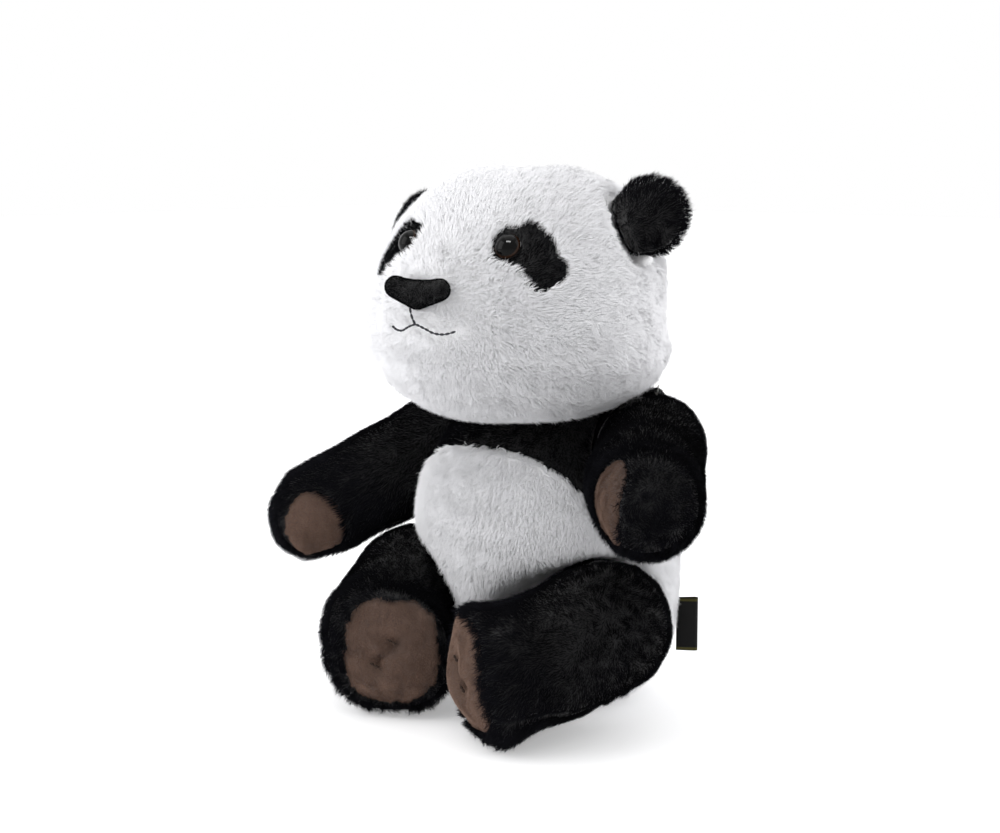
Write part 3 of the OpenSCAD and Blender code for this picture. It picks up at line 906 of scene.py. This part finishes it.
# ---------- eyes ----------
def eye_material():
    """Black pupil with a thin brown ring near the rim, glossy."""
    def build(link, add, shader):
        uv = add("ShaderNodeUVMap", uv_map="OFBake")
        parts = add("ShaderNodeSeparateXYZ")
        link(uv.outputs["UV"], parts.inputs[0])
        ramp = colour_ramp(add, [(0.0, (0.001, 0.001, 0.001)), (0.88, (0.001, 0.001, 0.001)),
                                 (0.93, (0.022, 0.009, 0.004)), (0.98, (0.014, 0.006, 0.003)),
                                 (1.0, (0.003, 0.002, 0.002))])
        flecks = add("ShaderNodeTexNoise", in_Scale=30, in_Detail=4)
        link(uv.outputs["UV"], flecks.inputs["Vector"])
        shift = add("ShaderNodeMath", operation="MULTIPLY_ADD")
        shift.inputs[1].default_value = 0.06
        link(flecks.outputs["Fac"], shift.inputs[0])
        link(parts.outputs["Y"], shift.inputs[2])
        link(shift.outputs[0], ramp.inputs["Fac"])
        link(ramp.outputs["Color"], shader.inputs["Base Color"])
        shader.inputs["Roughness"].default_value = 0.05
        shader.inputs["IOR"].default_value = 1.2
    return node_material("eye_gloss", build)


EYE = eye_material()


def lathe(name, profile, base, axis, sides=64):
    """Turns (radius, height) points round an axis; v runs along the profile by radius."""
    axis = Vector(axis).normalized()
    turn = axis.to_track_quat("Z", "Y").to_matrix()
    widest = max(r for r, _ in profile)
    points = []
    for radius, height in profile:
        for k in range(sides):
            angle = 2 * math.pi * k / sides
            local = Vector((radius * math.cos(angle), radius * math.sin(angle), height))
            points.append(Vector(base) + turn @ local)
    rows = len(profile)
    faces = []
    for j in range(rows - 1):
        for k in range(sides):
            a, b = j * sides + k, j * sides + (k + 1) % sides
            faces.append((a, b, b + sides, a + sides))
    first, last = len(points), len(points) + 1
    points += [Vector(base) + turn @ Vector((0, 0, profile[0][1])),
               Vector(base) + turn @ Vector((0, 0, profile[-1][1]))]
    mesh = bpy.data.meshes.new(name)
    caps = [(first, (k + 1) % sides, k) for k in range(sides)]
    top = (rows - 1) * sides
    caps += [(last, top + k, top + (k + 1) % sides) for k in range(sides)]
    mesh.from_pydata(points, [], faces + caps)
    mesh.polygons.foreach_set("use_smooth", np.ones(len(mesh.polygons), bool))
    layer = mesh.uv_layers.new(name="OFBake")
    for polygon in mesh.polygons:
        columns = [mesh.loops[i].vertex_index for i in polygon.loop_indices]
        turned = [c % sides if c < first else None for c in columns]
        known = [c for c in turned if c is not None]
        wrap = max(known) - min(known) > sides / 2
        for i, c in zip(polygon.loop_indices, columns):
            if c >= first:
                r, k = 0.0, sum(known) / len(known)
            else:
                r, k = profile[c // sides][0] / widest, c % sides
                if wrap and k == 0:
                    k = sides
            layer.data[i].uv = (k / sides, r)
    obj = bpy.data.objects.new(name, mesh)
    bpy.context.scene.collection.objects.link(obj)
    return obj


def safety_eye(side):
    """Domed eye with a fine rim and a shank that goes through the skin into the washer."""
    node = "eye_" + side
    points = points_of(NODES[node].data)
    base = middle("eye_washer_" + side)
    axis = unit(points.mean(0) - base)
    along = (points - base) @ axis
    across = np.linalg.norm(points - base - along[:, None] * axis, axis=1)
    radius = across.max()
    rim = along[across > radius * 0.98].max()
    dome = along.max() - rim
    shank, back_edge = 1.5 * MM, rim - 0.9 * MM
    profile = [(shank, along.min()), (shank, back_edge), (radius * 0.86, back_edge),
               (radius, rim - 0.3 * MM), (radius, rim + 0.25 * MM)]
    ball = (radius ** 2 + dome ** 2) / (2 * dome)
    rings = 14
    for step in range(1, rings + 1):
        r = radius * math.cos(math.pi / 2 * step / (rings + 0.5))
        profile.append((r, rim + math.sqrt(ball ** 2 - r ** 2) - (ball - dome)))
    eye = lathe(node + "_dome", profile, base, axis)
    eye.data.materials.append(EYE)
    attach(eye, "head")
    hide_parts(node)


for side_name in ("left", "right"):
    safety_eye(side_name)


# ---------- stitches ----------
def spline(points, per_span):
    """Smooth curve through points (Catmull-Rom)."""
    ends = np.concatenate([[2 * points[0] - points[1]], points, [2 * points[-1] - points[-2]]])
    out = []
    for p0, p1, p2, p3 in zip(ends, ends[1:], ends[2:], ends[3:]):
        for t in np.linspace(0, 1, per_span, endpoint=False):
            out.append(0.5 * (2 * p1 + (p2 - p0) * t + (2 * p0 - 5 * p1 + 4 * p2 - p3) * t * t
                              + (3 * p1 - p0 - 3 * p2 + p3) * t ** 3))
    return np.array(out + [points[-1]])


def tube(path, radii, sides=8):
    """Closed tube with rounded ends along a path."""
    points, faces = [], []
    tangent = unit(np.gradient(path, axis=0))
    guide = np.array([0.0, -1.0, 0.2])
    for p, t, r in zip(path, tangent, radii):
        a = unit(np.cross(t, guide))
        b = np.cross(t, a)
        for k in range(sides):
            angle = 2 * math.pi * k / sides
            points.append(p + r * (a * math.cos(angle) + b * math.sin(angle)))
    for j in range(len(path) - 1):
        for k in range(sides):
            c, d = j * sides + k, j * sides + (k + 1) % sides
            faces.append((c, d, d + sides, c + sides))
    faces.append(tuple(range(sides))[::-1])
    last = (len(path) - 1) * sides
    faces.append(tuple(last + k for k in range(sides)))
    return points, faces


DASH = 2.7 * MM
DASH_SWELL = np.array([0.35, 0.8, 1.0, 1.05, 1.0, 0.8, 0.35])


def thread_piece(name, paths, radius, material, body, node, lift):
    """Stitches of thread: short plump dashes that meet end to end."""
    points, faces = [], []
    for path in paths:
        length = np.concatenate([[0], np.cumsum(np.linalg.norm(np.diff(path, axis=0), axis=1))])
        count = max(1, round(length[-1] / DASH))
        for i in range(count):
            at = np.linspace(length[-1] * i / count, length[-1] * (i + 1) / count,
                             len(DASH_SWELL))
            dash = np.stack([np.interp(at, length, path[:, k]) for k in range(3)], axis=1)
            own, rows = tube(dash + lift, radius * DASH_SWELL)
            faces += [tuple(len(points) + v for v in row) for row in rows]
            points += own
    mesh = bpy.data.meshes.new(name)
    mesh.from_pydata([tuple(p) for p in points], [], faces)
    mesh.polygons.foreach_set("use_smooth", np.ones(len(mesh.polygons), bool))
    mesh.materials.append(material)
    obj = bpy.data.objects.new(name, mesh)
    bpy.context.scene.collection.objects.link(obj)
    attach(obj, body)
    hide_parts(node)


_, mouth_y, mouth_z = MOUTH[len(MOUTH) // 2]
nose_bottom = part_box("nose")[0].z
philtrum = np.array([[0, mouth_y, mouth_z],
                     [0, (mouth_y + NOSE[1] - 4 * MM) / 2, (mouth_z + nose_bottom) / 2],
                     [0, NOSE[1] - 3 * MM, nose_bottom + 1 * MM]])
thread_piece("mouth_thread", [spline(MOUTH, 6), spline(philtrum, 5)], 0.55 * MM, MOUTH_THREAD,
             "head", "mouth_stitch", np.array([0, -1.7 * MM, 0]))
TOE_IN = math.radians(26)
for side_name, sign in (("left", 1), ("right", -1)):
    across = np.array([math.cos(TOE_IN), -sign * math.sin(TOE_IN), -0.4]) * 2.2 * MM
    paths = [np.array([centre - across, centre, centre + across])
             for centre in stitch_centres("toe_stitches_" + side_name)]
    inward = np.array([sign * math.sin(TOE_IN), math.cos(TOE_IN), 0]) * 2.6 * MM
    thread_piece("sole_thread_" + side_name, paths, 0.6 * MM, SOLE_THREAD, "leg_" + side_name,
                 "toe_stitches_" + side_name, inward)


# ---------- ribbon ----------
def ribbon_material():
    """Black woven ribbon with an olive line along both long edges."""
    def build(link, add, shader):
        uv = add("ShaderNodeUVMap", uv_map="OFBake")
        parts = add("ShaderNodeSeparateXYZ")
        link(uv.outputs["UV"], parts.inputs[0])
        black, olive = (0.003, 0.003, 0.003), (0.050, 0.045, 0.010)
        edge = colour_ramp(add, [(0.0, black), (0.02, olive), (0.05, olive), (0.07, black),
                                 (0.93, black), (0.95, olive), (0.98, olive), (1.0, black)])
        link(parts.outputs["Y"], edge.inputs["Fac"])
        link(edge.outputs["Color"], shader.inputs["Base Color"])
        weave = add("ShaderNodeTexWave", in_Scale=34, in_Distortion=0.4, bands_direction="Y")
        link(uv.outputs["UV"], weave.inputs["Vector"])
        bump = add("ShaderNodeBump", in_Strength=0.5, in_Distance=0.0002)
        link(weave.outputs["Fac"], bump.inputs["Height"])
        link(bump.outputs["Normal"], shader.inputs["Normal"])
        shader.inputs["Roughness"].default_value = 0.7
        shader.inputs["IOR"].default_value = 1.25
    return node_material("woven_ribbon", build)


def ribbon():
    """Folded ribbon that stands out of the side seam: up one side, round the fold and back."""
    points = points_of(NODES["side_label"].data)
    low, height = points[:, 2].min(), np.ptp(points[:, 2])
    flat = points[:, :2]
    middle_xy = (flat.max(0) + flat.min(0)) / 2
    way = unit(np.array([0.8, 0.6]))
    side = np.array([-way[1], way[0]])
    reach = (flat - middle_xy) @ way
    inner, outer = reach.min(), reach.max()
    bulge, gap, rows = 1.55 * MM, 0.5 * MM, 15
    fold = outer - bulge
    track = [(inner + (fold - inner) * t, -(gap + (bulge - gap) * t ** 0.7))
             for t in np.linspace(0, 1, 9)]
    back_again = [(x, -y) for x, y in track[::-1]]
    for angle in np.linspace(-80, 80, 13):
        a = math.radians(angle)
        track.append((fold + bulge * math.cos(a), bulge * math.sin(a)))
    track += back_again
    steps = [math.dist(p, q) for p, q in zip(track[:-1], track[1:])]
    length = np.concatenate([[0], np.cumsum(steps)])
    verts, uvs = [], []
    for j in range(rows):
        lean = 0.5 * MM * math.sin(3 * j / rows)
        for (x, y), l in zip(track, length):
            xy = middle_xy + way * x + side * (y + lean * max(0, x / outer))
            verts.append((*xy, low + height * j / (rows - 1)))
            uvs.append((l / length[-1], j / (rows - 1)))
    wide = len(track)
    faces = [(j * wide + i, j * wide + i + 1, (j + 1) * wide + i + 1, (j + 1) * wide + i)
             for j in range(rows - 1) for i in range(wide - 1)]
    obj = new_object("side_ribbon", np.array(verts), faces)
    layer = obj.data.uv_layers.new(name="OFBake")
    index = np.array(faces).ravel()
    layer.data.foreach_set("uv", np.array(uvs, np.float32)[index].ravel())
    solid = obj.modifiers.new("thickness", "SOLIDIFY")
    solid.thickness = 0.35 * MM
    solid.offset = 0
    apply_modifiers(obj)
    obj.data.materials.append(ribbon_material())
    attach(obj, "torso")
    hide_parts("side_label")


ribbon()

# ---------- CAD pieces that stay ----------
OWN_MATERIAL = {"washer_plastic": WASHER, "black_thread": BLACK_THREAD}
for node in NODES:
    material = OWN_MATERIAL.get(SLOT[node], WHITE_THREAD if node == "neck_seam" else None)
    if material:
        NODES[node].data.materials.clear()
        NODES[node].data.materials.append(material)
